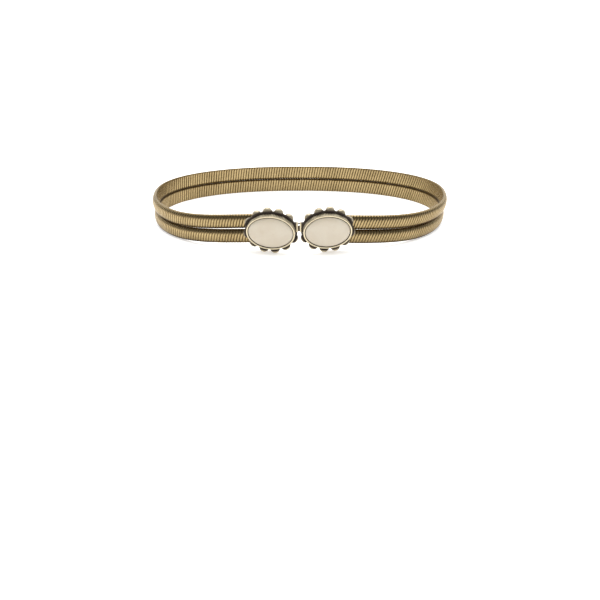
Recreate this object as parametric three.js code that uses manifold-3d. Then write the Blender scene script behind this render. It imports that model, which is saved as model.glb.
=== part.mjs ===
// A closed stretch coil belt in antique gold, standing on its edge: two flattened spring
// strands run round the waist and meet at the front in two cast oval medallions with cream
// cabochons, linked by a flat hook. Millimetres, +Z up, medallions to the front at -Y.

import * as THREE from 'three';
import { mergeVertices } from 'three/addons/utils/BufferGeometryUtils.js';
import Module from 'manifold-3d';

const wasm = await Module();
wasm.setup();

const GAP = 0.3; // clearance between neighbouring pieces

// Waist opening, measured to the flat inner face of the upper strand
const WAIST = {
  halfWidth: 129.7, // centre to side
  frontReach: 88.9, // widest line to the front
  backReach: 77.8, // widest line to the back
  frontSquareness: 2.32, // 2 is an ellipse, more is squarer
  backSquareness: 2.24,
};

// One coil strand: flat inside, domed outside, hollow
const COIL = {
  height: 12.4,
  thickness: 4.4,
  wall: 0.8,
  stations: 84,
  backGap: 0.3, // between the strands at the back
  frontGap: { left: 0.8, right: 0.3 }, // between the strands beside each medallion
  endX: 26.6, // where both strands end behind each medallion
};

// The strap leans at the sides, so the lower strand lies a little inside the upper one
const LOWER_INSET = { left: 1.2, right: 2.25 };

// The front of the strap is lifted, because the medallions stand on their lowest petals
const LIFT = { startsAtY: -47.2, power: 2.9, frontZ: { left: 20.2, right: 19.1 } };

// Height of the strap's centre line at the back, where the lower strand stands
const STRAP_BACK_Z = COIL.height + COIL.backGap / 2;

// Half of the coil's section as fractions: out of the thickness, up of half the height
const COIL_SECTION = [
  { out: 0, up: -1 },
  { out: 0.3, up: -1 },
  { out: 0.76, up: -0.72 },
  { out: 1, up: -0.27 },
  { out: 1, up: 0.27 },
  { out: 0.76, up: 0.72 },
  { out: 0.3, up: 1 },
  { out: 0, up: 1 },
];

// Medallion: plate, petals and bezel share one long axis
const PLATE = { halfWidth: 22.0, halfHeight: 16.7, thickness: 1.5, sides: 56 };
const PETAL = { count: 12, radius: 4.1, height: 3.0, sides: 12 };
const PETAL_RING = { halfWidth: 19.8, halfHeight: 15.8 };
const MOAT = { halfWidth: 21.8, halfHeight: 16.5 };
const BEZEL = { halfWidth: 20.4, halfHeight: 14.5, height: 7.0, flutes: 66, fluteDepth: 0.45 };
const RIM = { width: 1.3, band: 1.0, bevel: 0.35, lip: 0.7, undercut: 0.35 };
const STONE = { dome: 2.1, shoulder: 0.4, sides: 36 };
const SUNK = 0.3; // how far the bezel's foot runs into the plate

// Profile of a petal as fractions of its radius and of its height, from edge to crown
const PETAL_PROFILE = [
  { out: 1, up: 0.1 },
  { out: 0.8, up: 0.66 },
  { out: 0.42, up: 0.94 },
  { out: 0, up: 1 },
];

// Rings of the stone's dome as shares of its width
const DOME_SHARES = [1, 0.88, 0.66, 0.36];

// Each medallion as it hangs in the closed belt: its centre from the middle, the droop of its
// inner end, the turn of its petals as a share of their spacing, the space under its lowest
// petal, for the left one stands on the surface and the right one hangs just above, and the
// reach from its centre to the inner edge of its clasp bar
const MEDALLIONS = [
  { side: 'left', sign: -1, centreX: 23.2, droopDeg: 4, petalTurn: -0.05, lift: 0, reach: 22.4 },
  { side: 'right', sign: 1, centreX: 22.4, droopDeg: 2.4, petalTurn: 0.18, lift: 0.8, reach: 23 },
];

// Clasp: an upright bar at the inner end of each plate, with a slot behind it for the hook
const BAR = { width: 1.5, height: 8.1, rise: 1.8 };
const SLOT = { width: 1.5, height: 6.6 };
const HOOK = { thickness: 0.7, tabHeight: 5.8, tabReach: 1.6, stripDrop: 1.6, overhang: 1.3 };
const WINDOW = { width: 1.3, height: 1.6, fromTop: 0.9 };
const CLASP_Z = 23.4; // middle of the clasp above the surface

// Cap behind each plate that takes the ends of both strands
const CAP = { inner: 4, outer: 8.5, wall: 0.7, pocketInner: 1.5, clearance: 0.4 };

const GOLD = { color: 0xa3925f, roughness: 0.32, metalness: 1 };
const CAST_GOLD = { color: 0xcdbb93, roughness: 0.3, metalness: 1 };
const CREAM = { color: 0xe0d4c0, roughness: 0.22, metalness: 0 };

const radians = THREE.MathUtils.degToRad;

// Signed power, for superellipse coordinates
function bend(value, exponent) {
  return Math.sign(value) * Math.abs(value) ** exponent;
}

// Volume of a closed indexed mesh, negative when its faces point inward
function signedVolume(points, index) {
  let volume = 0;
  for (let i = 0; i < index.length; i += 3) {
    const [a, b, c] = [points[index[i]], points[index[i + 1]], points[index[i + 2]]];
    volume += a.dot(new THREE.Vector3().crossVectors(b, c)) / 6;
  }
  return volume;
}

// Triangles between two closed rings with equal counts, or with twice as many in one of them
function bridge(index, startA, countA, startB, countB) {
  if (countA < countB) {
    const part = [];
    bridge(part, startB, countB, startA, countA);
    for (let i = 0; i < part.length; i += 3) {
      index.push(part[i], part[i + 2], part[i + 1]);
    }
    return;
  }
  const step = countA / countB;
  for (let k = 0; k < countB; k += 1) {
    const b0 = startB + k;
    const b1 = startB + ((k + 1) % countB);
    const a0 = startA + k * step;
    const aEnd = startA + (((k + 1) * step) % countA);
    if (step === 2) {
      index.push(a0, a0 + 1, b0, a0 + 1, aEnd, b1, a0 + 1, b1, b0);
    } else {
      index.push(a0, aEnd, b0, aEnd, b1, b0);
    }
  }
}

// Closed body through a list of rings, the last joined to the first
function ringBody(rings) {
  const points = rings.flat();
  const starts = [];
  let total = 0;
  for (const ring of rings) {
    starts.push(total);
    total += ring.length;
  }
  const index = [];
  rings.forEach((ring, i) => {
    const j = (i + 1) % rings.length;
    bridge(index, starts[i], ring.length, starts[j], rings[j].length);
  });
  if (signedVolume(points, index) < 0) {
    index.reverse();
  }
  const geometry = new THREE.BufferGeometry().setFromPoints(points);
  geometry.setIndex(index);
  return geometry;
}

// Solid for cutting and joining, from a closed geometry
function solid(geometry) {
  const bare = geometry.clone();
  bare.deleteAttribute('normal');
  bare.deleteAttribute('uv');
  const merged = mergeVertices(bare, 1e-4);
  return new wasm.Manifold(new wasm.Mesh({
    numProp: 3,
    vertProperties: new Float32Array(merged.attributes.position.array),
    triVerts: new Uint32Array(merged.index.array),
  }));
}

function geometryOf(body) {
  const mesh = body.getMesh();
  const geometry = new THREE.BufferGeometry();
  geometry.setAttribute('position', new THREE.BufferAttribute(mesh.vertProperties, 3));
  geometry.setIndex(new THREE.BufferAttribute(mesh.triVerts, 1));
  return geometry;
}

function namedMesh(name, geometry, finish) {
  geometry.computeVertexNormals();
  const mesh = new THREE.Mesh(geometry, new THREE.MeshStandardMaterial(finish));
  mesh.name = name;
  return mesh;
}

// Box by its two corners
function boxBetween(low, high) {
  const size = new THREE.Vector3().subVectors(high, low);
  const middle = new THREE.Vector3().addVectors(low, high).multiplyScalar(0.5);
  return new THREE.BoxGeometry(size.x, size.y, size.z).translate(middle.x, middle.y, middle.z);
}

// Points at equal spacing along an ellipse in the XZ plane at depth y
function ellipseRing(halfWidth, halfHeight, y, count, turn = 0) {
  const fine = 1440;
  const lengths = [0];
  const at = (i) => {
    const angle = (2 * Math.PI * i) / fine;
    return new THREE.Vector3(halfWidth * Math.cos(angle), y, halfHeight * Math.sin(angle));
  };
  for (let i = 1; i <= fine; i += 1) {
    lengths.push(lengths[i - 1] + at(i).distanceTo(at(i - 1)));
  }
  const whole = lengths[fine];
  const ring = [];
  let i = 0;
  for (let k = 0; k < count; k += 1) {
    const target = (((k + turn) / count + 1) % 1) * whole;
    if (target < lengths[i]) {
      i = 0;
    }
    while (lengths[i + 1] < target) {
      i += 1;
    }
    ring.push(at(i + (target - lengths[i]) / (lengths[i + 1] - lengths[i])));
  }
  return ring;
}

// Elliptic prism from depth y0 to y1
function ellipsePrism(halfWidth, halfHeight, y0, y1) {
  const geometry = new THREE.CylinderGeometry(1, 1, y1 - y0, PLATE.sides);
  return geometry.scale(halfWidth, 1, halfHeight).translate(0, (y0 + y1) / 2, 0);
}

// Height of the strap's centre line above its place at the back, from 0 to 1
function liftShare(y) {
  const run = (LIFT.startsAtY - y) / (LIFT.startsAtY + WAIST.frontReach);
  return Math.min(Math.max(run, 0), 1) ** LIFT.power;
}

// Point of the waist curve; the angle starts at the front centre and goes by the left side
function waistPoint(angle, inset) {
  const front = Math.cos(angle) > 0;
  const exponent = 2 / (front ? WAIST.frontSquareness : WAIST.backSquareness);
  const reach = front ? WAIST.frontReach : WAIST.backReach;
  const x = -WAIST.halfWidth * bend(Math.sin(angle), exponent);
  const narrowing = 1 - (x < 0 ? inset.left : inset.right) / WAIST.halfWidth;
  return new THREE.Vector2(x * narrowing, -reach * bend(Math.cos(angle), exponent));
}

// Stations at equal spacing along a strand, each with its place and outward direction
function strandStations(inset) {
  const fine = 4000;
  const points = [];
  for (let i = 0; i <= fine; i += 1) {
    points.push(waistPoint((2 * Math.PI * i) / fine, inset));
  }
  const half = fine / 2;
  const first = points.findIndex((p) => p.x <= -COIL.endX);
  const last = half + points.slice(half).findIndex((p) => p.x > 0 && p.y < 0 && p.x <= COIL.endX);
  const lengths = [0];
  for (let i = first + 1; i <= last; i += 1) {
    lengths.push(lengths[lengths.length - 1] + points[i].distanceTo(points[i - 1]));
  }
  const whole = lengths[lengths.length - 1];
  const stations = [];
  let i = 0;
  for (let k = 0; k <= COIL.stations; k += 1) {
    const target = (whole * k) / COIL.stations;
    while (i < lengths.length - 2 && lengths[i + 1] < target) {
      i += 1;
    }
    const share = (target - lengths[i]) / (lengths[i + 1] - lengths[i]);
    const before = points[first + i];
    const after = points[first + i + 1];
    const along = new THREE.Vector2().subVectors(after, before).normalize();
    stations.push({
      place: new THREE.Vector2().lerpVectors(before, after, share),
      outward: new THREE.Vector2(along.y, -along.x).negate(),
    });
  }
  return stations;
}

// One strand: an outer skin, and an inner one that comes back inside it, open at both ends;
// side is 1 for the strand above the gap and -1 for the one below it
function coilStrand(inset, side) {
  const backZ = STRAP_BACK_Z + (side * (COIL.height + COIL.backGap)) / 2;
  const ringAt = (station, wall) => COIL_SECTION.map(({ out, up }) => {
    const depth = wall + out * (COIL.thickness - 2 * wall);
    const level = up * (COIL.height / 2 - wall);
    const end = station.place.x < 0 ? 'left' : 'right';
    const frontZ = LIFT.frontZ[end] + (side * (COIL.height + COIL.frontGap[end])) / 2;
    const z = backZ + (frontZ - backZ) * liftShare(station.place.y) + level;
    const spot = station.place.clone().addScaledVector(station.outward, depth);
    const lean = (LOWER_INSET[end] * level) / (COIL.height * WAIST.halfWidth);
    return new THREE.Vector3(spot.x * (1 + lean), spot.y, z);
  });
  const stations = strandStations(inset);
  const skin = stations.map((station) => ringAt(station, 0));
  const inside = stations.map((station) => ringAt(station, COIL.wall)).reverse();
  return ringBody([...skin, ...inside]);
}

// Half-dome petal standing on the plate, before the moat cuts its inner side
function petalBody(centre) {
  const { radius, height, sides } = PETAL;
  const back = -PLATE.thickness;
  const dome = PETAL_PROFILE.map(({ out, up }) => new THREE.Vector2(radius * out, height * up));
  const profile = [new THREE.Vector2(0, back), new THREE.Vector2(radius, back), ...dome];
  const geometry = new THREE.LatheGeometry(profile, sides).rotateX(Math.PI);
  return solid(geometry.translate(centre.x, 0, centre.z));
}

// Raised oval collar with upright flutes, a smooth rim and an undercut that holds the stone
function bezelBody() {
  const row = (inset, up, count, turn = 0) => {
    const { halfWidth, halfHeight } = BEZEL;
    return ellipseRing(halfWidth - inset, halfHeight - inset, -up, count, turn);
  };
  const fluted = (up) => {
    const ridges = row(0, up, BEZEL.flutes);
    const valleys = row(BEZEL.fluteDepth, up, BEZEL.flutes, 0.5);
    return ridges.flatMap((ridge, k) => [ridge, valleys[k]]);
  };
  const foot = -SUNK;
  const top = BEZEL.height;
  const bandFoot = top - RIM.band;
  const cup = RIM.width - RIM.undercut;
  return solid(ringBody([
    fluted(foot),
    fluted(bandFoot - SUNK),
    row(0, bandFoot, BEZEL.flutes),
    row(RIM.bevel, top, BEZEL.flutes),
    row(RIM.width, top, BEZEL.flutes),
    row(RIM.width, top - RIM.lip, BEZEL.flutes),
    row(cup, top - RIM.lip, BEZEL.flutes),
    row(cup, foot, BEZEL.flutes),
  ]));
}

// Roll of a medallion about its own front axis
function rollOf(medallion) {
  return radians(-medallion.sign * medallion.droopDeg);
}

// Box with its x run given from the medallion's centre towards the clasp
function inwardBox(medallion, fromX, toX, y0, y1, z0, z1) {
  const xs = [-medallion.sign * fromX, -medallion.sign * toX].sort((a, b) => a - b);
  return solid(boxBetween(new THREE.Vector3(xs[0], y0, z0), new THREE.Vector3(xs[1], y1, z1)));
}

// Petals at even steps along the plate's edge, without the one nearest to the clasp
function petalSolids(medallion) {
  const turn = 0.5 + medallion.petalTurn;
  const spots = ellipseRing(PETAL_RING.halfWidth, PETAL_RING.halfHeight, 0, PETAL.count, turn);
  const clasp = new THREE.Vector3(-medallion.sign * MOAT.halfWidth, 0, PETAL.radius);
  const nearest = Math.min(...spots.map((spot) => spot.distanceTo(clasp)));
  const kept = spots.filter((spot) => spot.distanceTo(clasp) > nearest);
  return kept.map(petalBody).reduce((sum, petal) => sum.add(petal));
}

// Plate with its petals, turned by the droop of the medallion, without bezel and clasp
function scallopedPlate(medallion) {
  const moat = solid(ellipsePrism(MOAT.halfWidth, MOAT.halfHeight, -2 * PETAL.height, 0));
  const plate = solid(ellipsePrism(PLATE.halfWidth, PLATE.halfHeight, 0, PLATE.thickness));
  const body = plate.add(petalSolids(medallion)).subtract(moat);
  return geometryOf(body).rotateY(rollOf(medallion));
}

// Cast setting, all one metal: plate, petals, bezel and clasp bar
function settingBody(medallion, plate, claspZ) {
  const barInner = medallion.reach;
  const barOuter = barInner - BAR.width;
  const slotOuter = barOuter - SLOT.width;
  const back = PLATE.thickness;
  const low = claspZ - BAR.height / 2;
  const high = claspZ + BAR.height / 2;
  const slotLow = claspZ - SLOT.height / 2;
  const slotHigh = claspZ + SLOT.height / 2;
  const lug = inwardBox(medallion, slotOuter - 1, barInner, 0, back, low, high);
  const bar = inwardBox(medallion, barOuter, barInner, -BAR.rise, back, low, high);
  const slot = inwardBox(medallion, slotOuter, barOuter, -0.1, back + 1, slotLow, slotHigh);
  const bezel = solid(geometryOf(bezelBody()).rotateY(rollOf(medallion)));
  return solid(plate).add(lug).add(bar).subtract(slot).add(bezel);
}

// Oval cabochon: straight girdle in the cup, a shoulder under the rim's lip, then a low dome
function stoneGeometry(medallion) {
  const girdle = RIM.width - RIM.undercut + GAP;
  const lipUnder = BEZEL.height - RIM.lip;
  const shoulderWidth = BEZEL.halfWidth - girdle - STONE.shoulder;
  const shoulderHeight = BEZEL.halfHeight - girdle - STONE.shoulder;
  const girdleWidth = BEZEL.halfWidth - girdle;
  const girdleHeight = BEZEL.halfHeight - girdle;
  const rings = [
    ellipseRing(girdleWidth, girdleHeight, -GAP, STONE.sides),
    ellipseRing(girdleWidth, girdleHeight, -(lipUnder - GAP), STONE.sides),
  ];
  for (const share of DOME_SHARES) {
    const up = lipUnder + STONE.dome * (1 - share ** 2.6) ** 0.85;
    rings.push(ellipseRing(shoulderWidth * share, shoulderHeight * share, -up, STONE.sides));
  }
  const points = rings.flat();
  const bottom = points.push(new THREE.Vector3(0, -GAP, 0)) - 1;
  const top = points.push(new THREE.Vector3(0, -(lipUnder + STONE.dome), 0)) - 1;
  const index = [];
  for (let i = 0; i < rings.length - 1; i += 1) {
    bridge(index, i * STONE.sides, STONE.sides, (i + 1) * STONE.sides, STONE.sides);
  }
  const lastRing = (rings.length - 1) * STONE.sides;
  for (let k = 0; k < STONE.sides; k += 1) {
    const next = (k + 1) % STONE.sides;
    index.push(bottom, next, k, top, lastRing + k, lastRing + next);
  }
  if (signedVolume(points, index) < 0) {
    index.reverse();
  }
  const geometry = new THREE.BufferGeometry().setFromPoints(points);
  geometry.setIndex(index);
  return geometry.rotateY(rollOf(medallion));
}

// Distance from the strap's inner face to the front of a medallion's plate
const PLATE_STANDOFF = COIL.thickness + GAP + CAP.wall + GAP + PLATE.thickness;

// Where the waist curve passes behind a medallion, and which way it faces there
function medallionSeat(medallion, z) {
  const u = medallion.centreX / WAIST.halfWidth;
  const n = WAIST.frontSquareness;
  const y = -WAIST.frontReach * (1 - u ** n) ** (1 / n);
  const slope = (WAIST.frontReach / WAIST.halfWidth) * u ** (n - 1) * (1 - u ** n) ** (1 / n - 1);
  const yaw = medallion.sign * Math.atan(slope);
  const outward = new THREE.Vector3(Math.sin(yaw), -Math.cos(yaw), 0);
  const place = new THREE.Vector3(medallion.sign * medallion.centreX, y, z);
  return { yaw, place: place.addScaledVector(outward, PLATE_STANDOFF), strapY: y };
}

// Height of the strap's centre line at one end, where the waist curve has a given y
function strapCentre(end, y) {
  return STRAP_BACK_Z + (LIFT.frontZ[end] - STRAP_BACK_Z) * liftShare(y);
}

// Cap behind a plate: a box with one pocket for the ends of both strands
function capBody(medallion, seat) {
  const strapHeight = 2 * COIL.height + COIL.frontGap[medallion.side];
  const level = strapCentre(medallion.side, seat.strapY);
  const centre = level - seat.place.z - CAP.clearance / 2;
  const half = strapHeight / 2 + CAP.clearance;
  const front = PLATE.thickness + GAP;
  const pocketFront = front + CAP.wall;
  const pocketBack = pocketFront + GAP + COIL.thickness + 2 * CAP.clearance;
  const box = (fromX, toX, y0, y1, reach) => (
    inwardBox(medallion, -fromX, -toX, y0, y1, centre - reach, centre + reach)
  );
  const body = box(-CAP.inner, CAP.outer, front, pocketBack + CAP.wall, half + CAP.wall);
  return body.subtract(box(CAP.pocketInner, CAP.outer + 1, pocketFront, pocketBack, half));
}

function medallionGroup(medallion) {
  const plate = scallopedPlate(medallion);
  plate.computeBoundingBox();
  const centreZ = medallion.lift - plate.boundingBox.min.z;
  const seat = medallionSeat(medallion, centreZ);
  const group = new THREE.Group();
  group.position.copy(seat.place);
  group.rotation.z = seat.yaw;
  const setting = settingBody(medallion, plate, CLASP_Z - centreZ);
  group.add(namedMesh(`setting_${medallion.side}`, geometryOf(setting), CAST_GOLD));
  group.add(namedMesh(`stone_${medallion.side}`, stoneGeometry(medallion), CREAM));
  group.add(namedMesh(`end_cap_${medallion.side}`, geometryOf(capBody(medallion, seat)), GOLD));
  group.updateMatrixWorld(true);
  return group;
}

// Flat hook behind both bars, with a tab bent forward into each slot and a small window
function claspHook(groups) {
  const [left, right] = groups.map((group, i) => {
    const { reach, sign } = MEDALLIONS[i];
    const slotX = reach - BAR.width - SLOT.width / 2;
    const spot = new THREE.Vector3(-sign * slotX, PLATE.thickness, 0);
    return spot.applyMatrix4(group.matrixWorld);
  });
  const halfTab = HOOK.thickness / 2;
  const front = Math.max(left.y, right.y) + GAP;
  const back = front + HOOK.thickness;
  const low = CLASP_Z - HOOK.tabHeight / 2;
  const high = CLASP_Z + HOOK.tabHeight / 2;
  const box = (x0, x1, y0, y1, z0, z1) => (
    solid(boxBetween(new THREE.Vector3(x0, y0, z0), new THREE.Vector3(x1, y1, z1)))
  );
  const tab = (x) => box(x - halfTab, x + halfTab, front - HOOK.tabReach, back, low, high);
  const bottom = low - HOOK.stripDrop;
  const { overhang } = HOOK;
  const strip = box(left.x - overhang, right.x + overhang, front, back, bottom, high);
  const middle = (left.x + right.x) / 2;
  const top = high - WINDOW.fromTop;
  const halfWindow = WINDOW.width / 2;
  const window = box(middle - halfWindow, middle + halfWindow, front - 1, back + 1,
    top - WINDOW.height, top);
  return strip.add(tab(left.x)).add(tab(right.x)).subtract(window);
}

const belt = new THREE.Group();
const upper = coilStrand({ left: 0, right: 0 }, 1);
const lower = coilStrand(LOWER_INSET, -1);
belt.add(namedMesh('coil_upper', upper, GOLD));
belt.add(namedMesh('coil_lower', lower, GOLD));

const medallionGroups = MEDALLIONS.map(medallionGroup);
belt.add(...medallionGroups);
belt.add(namedMesh('clasp_hook', geometryOf(claspHook(medallionGroups)), CAST_GOLD));

// The origin is on the surface, under the middle of the belt's box
const extent = new THREE.Box3().setFromObject(belt);
const centre = extent.getCenter(new THREE.Vector3());
belt.position.set(-centre.x, -centre.y, 0);

export default belt;
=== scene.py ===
"""Stretch coil belt in antique gold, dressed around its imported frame.

Two wound coil strands run round the waist and meet in two cast medallions with cream
cabochons, which a small hook holds together. Sizes are in metres, as the frame's are.
"""

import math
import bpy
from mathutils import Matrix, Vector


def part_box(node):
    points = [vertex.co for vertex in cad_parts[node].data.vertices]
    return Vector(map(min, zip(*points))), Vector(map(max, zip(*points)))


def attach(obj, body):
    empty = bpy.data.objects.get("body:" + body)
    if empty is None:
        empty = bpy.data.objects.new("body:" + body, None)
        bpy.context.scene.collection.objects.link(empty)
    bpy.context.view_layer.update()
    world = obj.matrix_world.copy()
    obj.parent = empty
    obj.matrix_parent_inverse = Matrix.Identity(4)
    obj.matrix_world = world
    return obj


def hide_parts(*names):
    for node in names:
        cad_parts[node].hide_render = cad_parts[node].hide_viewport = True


bl_info = {
    "name": "Stretch Coil Belt",
    "version": (1, 0, 0),
    "blender": (4, 5, 0),
    "location": "3D View > Sidebar > Belt",
    "description": "Winds the coil strands and dresses the medallions and clasp of a stretch coil belt",
    "category": "Add Mesh",
}

import bmesh
import bpy
import numpy as np
from bpy.props import FloatProperty, FloatVectorProperty, IntProperty, PointerProperty
from mathutils import Matrix, Vector

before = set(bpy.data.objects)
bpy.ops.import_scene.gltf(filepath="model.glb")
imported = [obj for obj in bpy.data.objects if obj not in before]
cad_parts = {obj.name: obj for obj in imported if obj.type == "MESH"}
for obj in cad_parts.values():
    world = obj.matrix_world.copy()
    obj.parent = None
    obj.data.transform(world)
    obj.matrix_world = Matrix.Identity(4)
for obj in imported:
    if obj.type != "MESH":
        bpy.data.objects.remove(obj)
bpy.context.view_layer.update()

MM = 0.001

# Sizes of the strap, and its place, which comes from the frame
COIL_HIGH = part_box("coil_upper")[1]
COIL_HEIGHT = 12.4 * MM
COIL_THICKNESS = 4.4 * MM
WAIST_HALF_WIDTH = 129.7 * MM
FRONT_REACH = 88.9 * MM
BACK_REACH = 77.8 * MM
STRAP_SHIFT = COIL_HIGH.y - COIL_THICKNESS - BACK_REACH
# The waist's middle, to the side of the box's, because the right side leans more
SIDE_SHIFT = -0.074 * MM
FRONT_SQUARENESS = 2.32
BACK_SQUARENESS = 2.24

# The strap rises towards the medallions, because their petals reach below it
LIFT_START = -47.2 * MM
LIFT_POWER = 2.9
FRONT_LEVEL = {"left": 20.2 * MM, "right": 19.1 * MM}

# The coil's section: flat inside with rounded corners, and a superellipse dome outside
DOME_SQUARENESS = 2.3
CORNER_ROUND = 0.5 * MM

# The wire lies closer where it bends round the strand's edges: by this share, this suddenly
EDGE_CLOSING = {"share": 0.8, "power": 8}

# Tarnish and painted shade on a strand: tarnish with painted shade in the valleys, painted shade
# along the dome's lower edge and on the back edges that face the other strand. Heights are shares
# of the half height, up from the section's middle.
TARNISH_AND_SHADE = {
    "valley": 0.9, "valley_power": 0.7,
    "low_edge_shade": 0.9, "low_from": 0.54, "low_span": 0.2, "dome_from": 1.5 * MM,
    "facing_from": 0.89, "facing_depth": 2.6 * MM, "back_from": -20 * MM, "back_span": 30 * MM,
}

# Medallion, cast in one piece: plate, petals and bezel share a long axis
PLATE = {"half_width": 22.0 * MM, "half_height": 16.7 * MM, "thickness": 1.5 * MM}
PETAL_RING = {"half_width": 19.8 * MM, "half_height": 15.8 * MM}
MOAT = {"half_width": 21.8 * MM, "half_height": 16.5 * MM}
BEZEL = {"half_width": 20.4 * MM, "half_height": 14.5 * MM, "height": 7.0 * MM}
RIM = {"width": 1.3 * MM, "band": 1.0 * MM, "lip": 0.7 * MM, "undercut": 0.35 * MM}
SATIN = {"petal": 0.2, "flutes": 0.85}
PETAL_COUNT = 12
CLEARANCE = 0.3 * MM
CAP_WALL = 0.7 * MM
STANDOFF = COIL_THICKNESS + 2 * CLEARANCE + CAP_WALL + PLATE["thickness"]

# Each medallion as it hangs: its middle from the belt's, the droop of its inner end, the turn
# of its petals as a share of their spacing, and the reach to the inner edge of its clasp bar
MEDALLIONS = {
    "left": {"sign": -1, "centre_x": 23.2 * MM, "droop": 4.0, "turn": -0.05, "reach": 22.4 * MM},
    "right": {"sign": 1, "centre_x": 22.4 * MM, "droop": 2.4, "turn": 0.18, "reach": 23.0 * MM},
}

CLASP_LEVEL = 23.4 * MM
BAR = {"width": 1.5 * MM, "height": 8.1 * MM, "rise": 1.8 * MM}
SLOT = {"width": 1.5 * MM, "height": 6.6 * MM}

# The photograph's view: the loop's middle, where it falls in the picture, and the lens
PICTURE_PIXELS = 600
FOCAL_PIXELS = 1040.7
AIM = Vector((SIDE_SHIFT, STRAP_SHIFT, 13.3 * MM))
AIM_PIXEL = (299.7, 202.42)
SENSOR = 36.0


def linear(hex_colour):
    """Linear red, green and blue of an sRGB hex colour."""
    shares = [int(hex_colour[i:i + 2], 16) / 255 for i in (1, 3, 5)]
    return tuple(c / 12.92 if c <= 0.04045 else ((c + 0.055) / 1.055) ** 2.4 for c in shares)


class StrandShape(bpy.types.PropertyGroup):
    """Sizes of the two wound strands."""

    rib_spacing: FloatProperty(
        name="Rib spacing", description="Length of strap taken by one turn of wire",
        default=2.5 * MM, min=1 * MM, unit="LENGTH",
    )
    rib_depth: FloatProperty(
        name="Rib depth", description="How deep the valley between two turns is",
        default=0.5 * MM, min=0, unit="LENGTH",
    )
    rib_rows: IntProperty(
        name="Rows in a rib", description="Mesh rows across one turn of wire", default=8, min=4,
    )
    dome_points: IntProperty(
        name="Points over a turn's dome", description="Mesh points over the domed outside",
        default=18, min=8,
    )
    wires: IntProperty(
        name="Wires", description="Wires wound side by side, which set the slant of the turns",
        default=3, min=1,
    )
    inset_left: FloatProperty(
        name="Lower strand inset, left",
        description="How far the lower strand lies inside the upper one on the left",
        default=1.2 * MM, unit="LENGTH",
    )
    inset_right: FloatProperty(
        name="Lower strand inset, right",
        description="How far the lower strand lies inside the upper one on the right",
        default=2.25 * MM, unit="LENGTH",
    )
    # Less than the solids' 0.3 mm, because the valleys between the turns open it
    back_gap: FloatProperty(
        name="Gap at the back", description="Space between the two strands at the back",
        default=0.1 * MM, unit="LENGTH",
    )
    gap_left: FloatProperty(
        name="Gap at the left", description="Space between the strands by the left medallion",
        default=0.8 * MM, unit="LENGTH",
    )
    gap_right: FloatProperty(
        name="Gap at the right", description="Space between the strands by the right medallion",
        default=0.3 * MM, unit="LENGTH",
    )
    end_x: FloatProperty(
        name="Strand end", description="Distance from the middle where the strands end",
        default=25.2 * MM, unit="LENGTH",
    )


class MedallionShape(bpy.types.PropertyGroup):
    """Sizes of the cast settings and their stones."""

    petal_radius: FloatProperty(
        name="Petal radius", description="Radius of a half-dome petal",
        default=4.1 * MM, unit="LENGTH",
    )
    petal_height: FloatProperty(
        name="Petal height", description="Height of a petal's crown above the plate",
        default=3.0 * MM, unit="LENGTH",
    )
    flutes: IntProperty(
        name="Flutes", description="Upright flutes round the bezel wall", default=84, min=12,
    )
    flute_depth: FloatProperty(
        name="Flute depth", description="Depth of a flute in the bezel wall",
        default=0.32 * MM, unit="LENGTH",
    )
    rim_round: FloatProperty(
        name="Rim rounding", description="Radius of the rounded edges of the bezel's rim",
        default=0.4 * MM, unit="LENGTH",
    )
    stone_dome: FloatProperty(
        name="Stone dome", description="Rise of the cabochon's dome above the rim's lip",
        default=2.1 * MM, unit="LENGTH",
    )


class BeltFinish(bpy.types.PropertyGroup):
    """Colours of the belt's metals and stones."""

    coil_gold: FloatVectorProperty(
        name="Coil gold", description="Crowns of the plated coil wire",
        subtype="COLOR", min=0, max=1, default=linear("#AD986F"),
    )
    # Tarnish colour, also used for the painted shade on the coil strands
    coil_tarnish_and_shade: FloatVectorProperty(
        name="Coil tarnish", description="Valleys between the turns of wire",
        subtype="COLOR", min=0, max=1, default=linear("#453416"),
    )
    cast_gold: FloatVectorProperty(
        name="Cast gold", description="Polished crowns of the cast settings",
        subtype="COLOR", min=0, max=1, default=linear("#C3B79C"),
    )
    # Patina colour, also used for painted shade on the settings and painted shadow on the stones
    cast_patina_and_shade: FloatVectorProperty(
        name="Cast patina", description="Blackened recesses of the cast settings",
        subtype="COLOR", min=0, max=1, default=linear("#423932"),
    )
    clasp_brass: FloatVectorProperty(
        name="Clasp brass", description="Sheet brass of the end caps and of the hook's worn edges",
        subtype="COLOR", min=0, max=1, default=linear("#B49B6C"),
    )
    cream: FloatVectorProperty(
        name="Cream", description="Body colour of the cabochons",
        subtype="COLOR", min=0, max=1, default=linear("#C4BBAA"),
    )
    cream_shade: FloatVectorProperty(
        name="Cream clouding", description="Warmer clouds inside the cabochons",
        subtype="COLOR", min=0, max=1, default=linear("#BEB29F"),
    )


class StudioSetup(bpy.types.PropertyGroup):
    """Camera, lights and floor."""

    elevation: FloatProperty(
        name="View elevation", description="Height of the view above the horizon",
        default=math.radians(18), subtype="ANGLE",
    )
    distance: FloatProperty(
        name="View distance", description="Distance from the camera to the loop's middle",
        default=963.3 * MM, unit="LENGTH",
    )
    floor_size: FloatProperty(
        name="Floor size", description="Side of the square floor", default=12.0, unit="LENGTH",
    )
    horizon: FloatProperty(
        name="Horizon light", description="Brightness of the studio near the horizon", default=1.3,
    )
    ceiling: FloatProperty(
        name="Ceiling light", description="Brightness of the studio overhead", default=0.22,
    )
    floor_light: FloatProperty(
        name="Floor light", description="Strength of the soft light from above", default=2.7,
    )
    table_glow: FloatProperty(
        name="Table glow", description="Light that the table gives through its surface",
        default=0.45,
    )


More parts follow.
